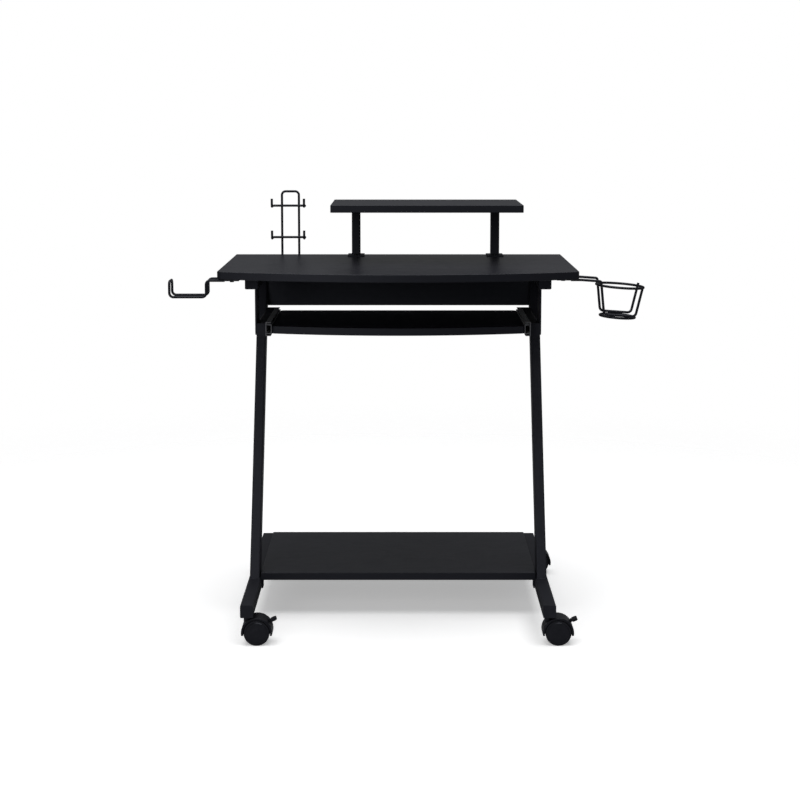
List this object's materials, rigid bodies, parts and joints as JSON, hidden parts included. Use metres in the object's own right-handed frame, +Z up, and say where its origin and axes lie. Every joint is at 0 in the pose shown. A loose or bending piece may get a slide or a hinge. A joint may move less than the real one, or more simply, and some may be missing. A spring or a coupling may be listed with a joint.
{
  "type": "computer desk",
  "caption": "Rolling computer desk with a bowed top, raised monitor shelf, sliding keyboard tray, bottom shelf, and wire holders for a cup, headphones and controllers.",
  "frame": {"origin": "on the floor, under the middle of the outer box", "axes": "+X to the right of the user who sits at the desk, +Y away from the user, +Z up"},
  "size_m": [0.9271, 0.542, 0.851],
  "materials": {
    "laminate_board": "satin black laminate on board",
    "painted_steel": "fine textured black powder coat",
    "coated_wire": "satin black powder coat",
    "slide_steel": "bright zinc plate",
    "cage_steel": "plain pressed steel",
    "bearing_steel": "polished steel",
    "zinc_screws": "zinc plated",
    "black_screws": "black oxide",
    "moulded_plastic": "satin moulded plastic",
    "wheel_nylon": "satin moulded nylon"
  },
  "bodies": {
    "frame": {"desktop": "laminate_board", "monitor_shelf": "laminate_board", "bottom_shelf": "laminate_board", "back_panel": "laminate_board", "foot_tube_left": "painted_steel", "leg_tube_left": "painted_steel", "top_beam_left": "painted_steel", "slide_arm_left": "painted_steel", "drop_plate_left": "painted_steel", "foot_tube_right": "painted_steel", "leg_tube_right": "painted_steel", "top_beam_right": "painted_steel", "slide_arm_right": "painted_steel", "drop_plate_right": "painted_steel", "tube_end_caps": "moulded_plastic", "shelf_brackets": "painted_steel", "shelf_screws": "black_screws", "riser_post_left": "painted_steel", "riser_post_right": "painted_steel", "riser_plates": "painted_steel", "riser_screws": "black_screws", "slide_outer_rail_left": "slide_steel", "slide_outer_rail_right": "slide_steel", "slide_arm_screws": "zinc_screws", "wire_holder_tabs": "painted_steel", "desktop_screws": "black_screws", "controller_rack_hoop": "coated_wire", "controller_rack_hooks": "coated_wire", "headphone_hook": "coated_wire", "cup_holder_wires": "coated_wire", "cup_holder_rings": "coated_wire", "back_panel_bolts": "black_screws", "caster_stems": "zinc_screws"},
    "tray": {"keyboard_tray": "laminate_board", "slide_inner_rail_left": "slide_steel", "slide_inner_rail_right": "slide_steel", "tray_screws": "zinc_screws"},
    "cage_left": {"ball_cage_left": "cage_steel", "slide_balls_left": "bearing_steel"},
    "cage_right": {"ball_cage_right": "cage_steel", "slide_balls_right": "bearing_steel"},
    "caster_front_left": {"caster_hood_front_left": "moulded_plastic", "caster_axle_front_left": "bearing_steel"},
    "wheel_front_left_fore": {"wheel_front_left_fore": "wheel_nylon"},
    "wheel_front_left_aft": {"wheel_front_left_aft": "wheel_nylon"},
    "lever_front_left": {"brake_lever_front_left": "moulded_plastic"},
    "caster_front_right": {"caster_hood_front_right": "moulded_plastic", "caster_axle_front_right": "bearing_steel"},
    "wheel_front_right_fore": {"wheel_front_right_fore": "wheel_nylon"},
    "wheel_front_right_aft": {"wheel_front_right_aft": "wheel_nylon"},
    "lever_front_right": {"brake_lever_front_right": "moulded_plastic"},
    "caster_rear_left": {"caster_hood_rear_left": "moulded_plastic", "caster_axle_rear_left": "bearing_steel"},
    "wheel_rear_left_fore": {"wheel_rear_left_fore": "wheel_nylon"},
    "wheel_rear_left_aft": {"wheel_rear_left_aft": "wheel_nylon"},
    "caster_rear_right": {"caster_hood_rear_right": "moulded_plastic", "caster_axle_rear_right": "bearing_steel"},
    "wheel_rear_right_fore": {"wheel_rear_right_fore": "wheel_nylon"},
    "wheel_rear_right_aft": {"wheel_rear_right_aft": "wheel_nylon"}
  },
  "joints": [
    {"name": "tray_slide", "type": "slide", "parent": "frame", "child": "tray", "axis": [0, -1, 0], "range_m": [0, 0.19]},
    {"name": "cage_left_roll", "type": "slide", "parent": "frame", "child": "cage_left", "axis": [0, -1, 0], "range_m": [0, 0.095]},
    {"name": "cage_right_roll", "type": "slide", "parent": "frame", "child": "cage_right", "axis": [0, -1, 0], "range_m": [0, 0.095]},
    {"name": "front_left_swivel", "type": "hinge", "parent": "frame", "child": "caster_front_left", "pos_m": [-0.31059, -0.246, 0.057], "axis": [0, 0, 1], "continuous": true},
    {"name": "front_left_fore_spin", "type": "hinge", "parent": "caster_front_left", "child": "wheel_front_left_fore", "pos_m": [-0.29259, -0.246, 0.025], "axis": [0, 1, 0], "continuous": true},
    {"name": "front_left_aft_spin", "type": "hinge", "parent": "caster_front_left", "child": "wheel_front_left_aft", "pos_m": [-0.29259, -0.246, 0.025], "axis": [0, 1, 0], "continuous": true},
    {"name": "front_left_brake", "type": "hinge", "parent": "caster_front_left", "child": "lever_front_left", "pos_m": [-0.2782, -0.246, 0.04098], "axis": [0, 1, 0], "range_deg": [0, 18]},
    {"name": "front_right_swivel", "type": "hinge", "parent": "frame", "child": "caster_front_right", "pos_m": [0.26941, -0.246, 0.057], "axis": [0, 0, 1], "continuous": true},
    {"name": "front_right_fore_spin", "type": "hinge", "parent": "caster_front_right", "child": "wheel_front_right_fore", "pos_m": [0.28741, -0.246, 0.025], "axis": [0, 1, 0], "continuous": true},
    {"name": "front_right_aft_spin", "type": "hinge", "parent": "caster_front_right", "child": "wheel_front_right_aft", "pos_m": [0.28741, -0.246, 0.025], "axis": [0, 1, 0], "continuous": true},
    {"name": "front_right_brake", "type": "hinge", "parent": "caster_front_right", "child": "lever_front_right", "pos_m": [0.3018, -0.246, 0.04098], "axis": [0, 1, 0], "range_deg": [0, 18]},
    {"name": "rear_left_swivel", "type": "hinge", "parent": "frame", "child": "caster_rear_left", "pos_m": [-0.31059, 0.246, 0.057], "axis": [0, 0, 1], "continuous": true},
    {"name": "rear_left_fore_spin", "type": "hinge", "parent": "caster_rear_left", "child": "wheel_rear_left_fore", "pos_m": [-0.29259, 0.246, 0.025], "axis": [0, 1, 0], "continuous": true},
    {"name": "rear_left_aft_spin", "type": "hinge", "parent": "caster_rear_left", "child": "wheel_rear_left_aft", "pos_m": [-0.29259, 0.246, 0.025], "axis": [0, 1, 0], "continuous": true},
    {"name": "rear_right_swivel", "type": "hinge", "parent": "frame", "child": "caster_rear_right", "pos_m": [0.26941, 0.246, 0.057], "axis": [0, 0, 1], "continuous": true},
    {"name": "rear_right_fore_spin", "type": "hinge", "parent": "caster_rear_right", "child": "wheel_rear_right_fore", "pos_m": [0.28741, 0.246, 0.025], "axis": [0, 1, 0], "continuous": true},
    {"name": "rear_right_aft_spin", "type": "hinge", "parent": "caster_rear_right", "child": "wheel_rear_right_aft", "pos_m": [0.28741, 0.246, 0.025], "axis": [0, 1, 0], "continuous": true}
  ],
  "couplings": [
    {"joint": "cage_left_roll", "follows": "tray_slide", "ratio": 0.5},
    {"joint": "cage_right_roll", "follows": "tray_slide", "ratio": 0.5}
  ]
}
